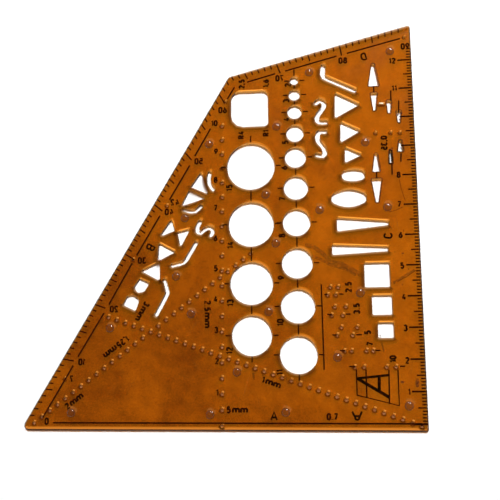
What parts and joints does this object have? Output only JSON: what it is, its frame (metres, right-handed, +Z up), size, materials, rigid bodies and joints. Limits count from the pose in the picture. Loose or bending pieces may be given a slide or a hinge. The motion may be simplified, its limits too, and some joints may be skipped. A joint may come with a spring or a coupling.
{
  "type": "lettering stencil",
  "caption": "Flat clear orange drawing stencil with a slanting protractor edge, a ruling edge, circles, squares, arrows and symbols cut through, and low ink risers.",
  "frame": {"origin": "centre of the bounding box, on the plane of the sheet's underside, which lies on the paper", "axes": "+Z up out of the paper through the sheet's top face, +X towards the straight ruling edge with the millimetre scale, +Y away from the base edge towards the sloping top edge"},
  "size_m": [0.1298, 0.1346, 0.0023],
  "materials": {
    "tinted_sheet": "gloss",
    "ink_riser": "gloss"
  },
  "bodies": {
    "root": {"ink_riser_01": "ink_riser", "ink_riser_02": "ink_riser", "ink_riser_03": "ink_riser", "ink_riser_04": "ink_riser", "ink_riser_05": "ink_riser", "ink_riser_06": "ink_riser", "ink_riser_07": "ink_riser", "ink_riser_08": "ink_riser", "ink_riser_09": "ink_riser", "ink_riser_10": "ink_riser", "ink_riser_11": "ink_riser", "ink_riser_12": "ink_riser", "ink_riser_13": "ink_riser", "ink_riser_14": "ink_riser", "ink_riser_15": "ink_riser", "ink_riser_16": "ink_riser", "ink_riser_17": "ink_riser", "ink_riser_18": "ink_riser", "ink_riser_19": "ink_riser", "ink_riser_20": "ink_riser", "ink_riser_21": "ink_riser", "sheet": "tinted_sheet"}
  },
  "joints": []
}
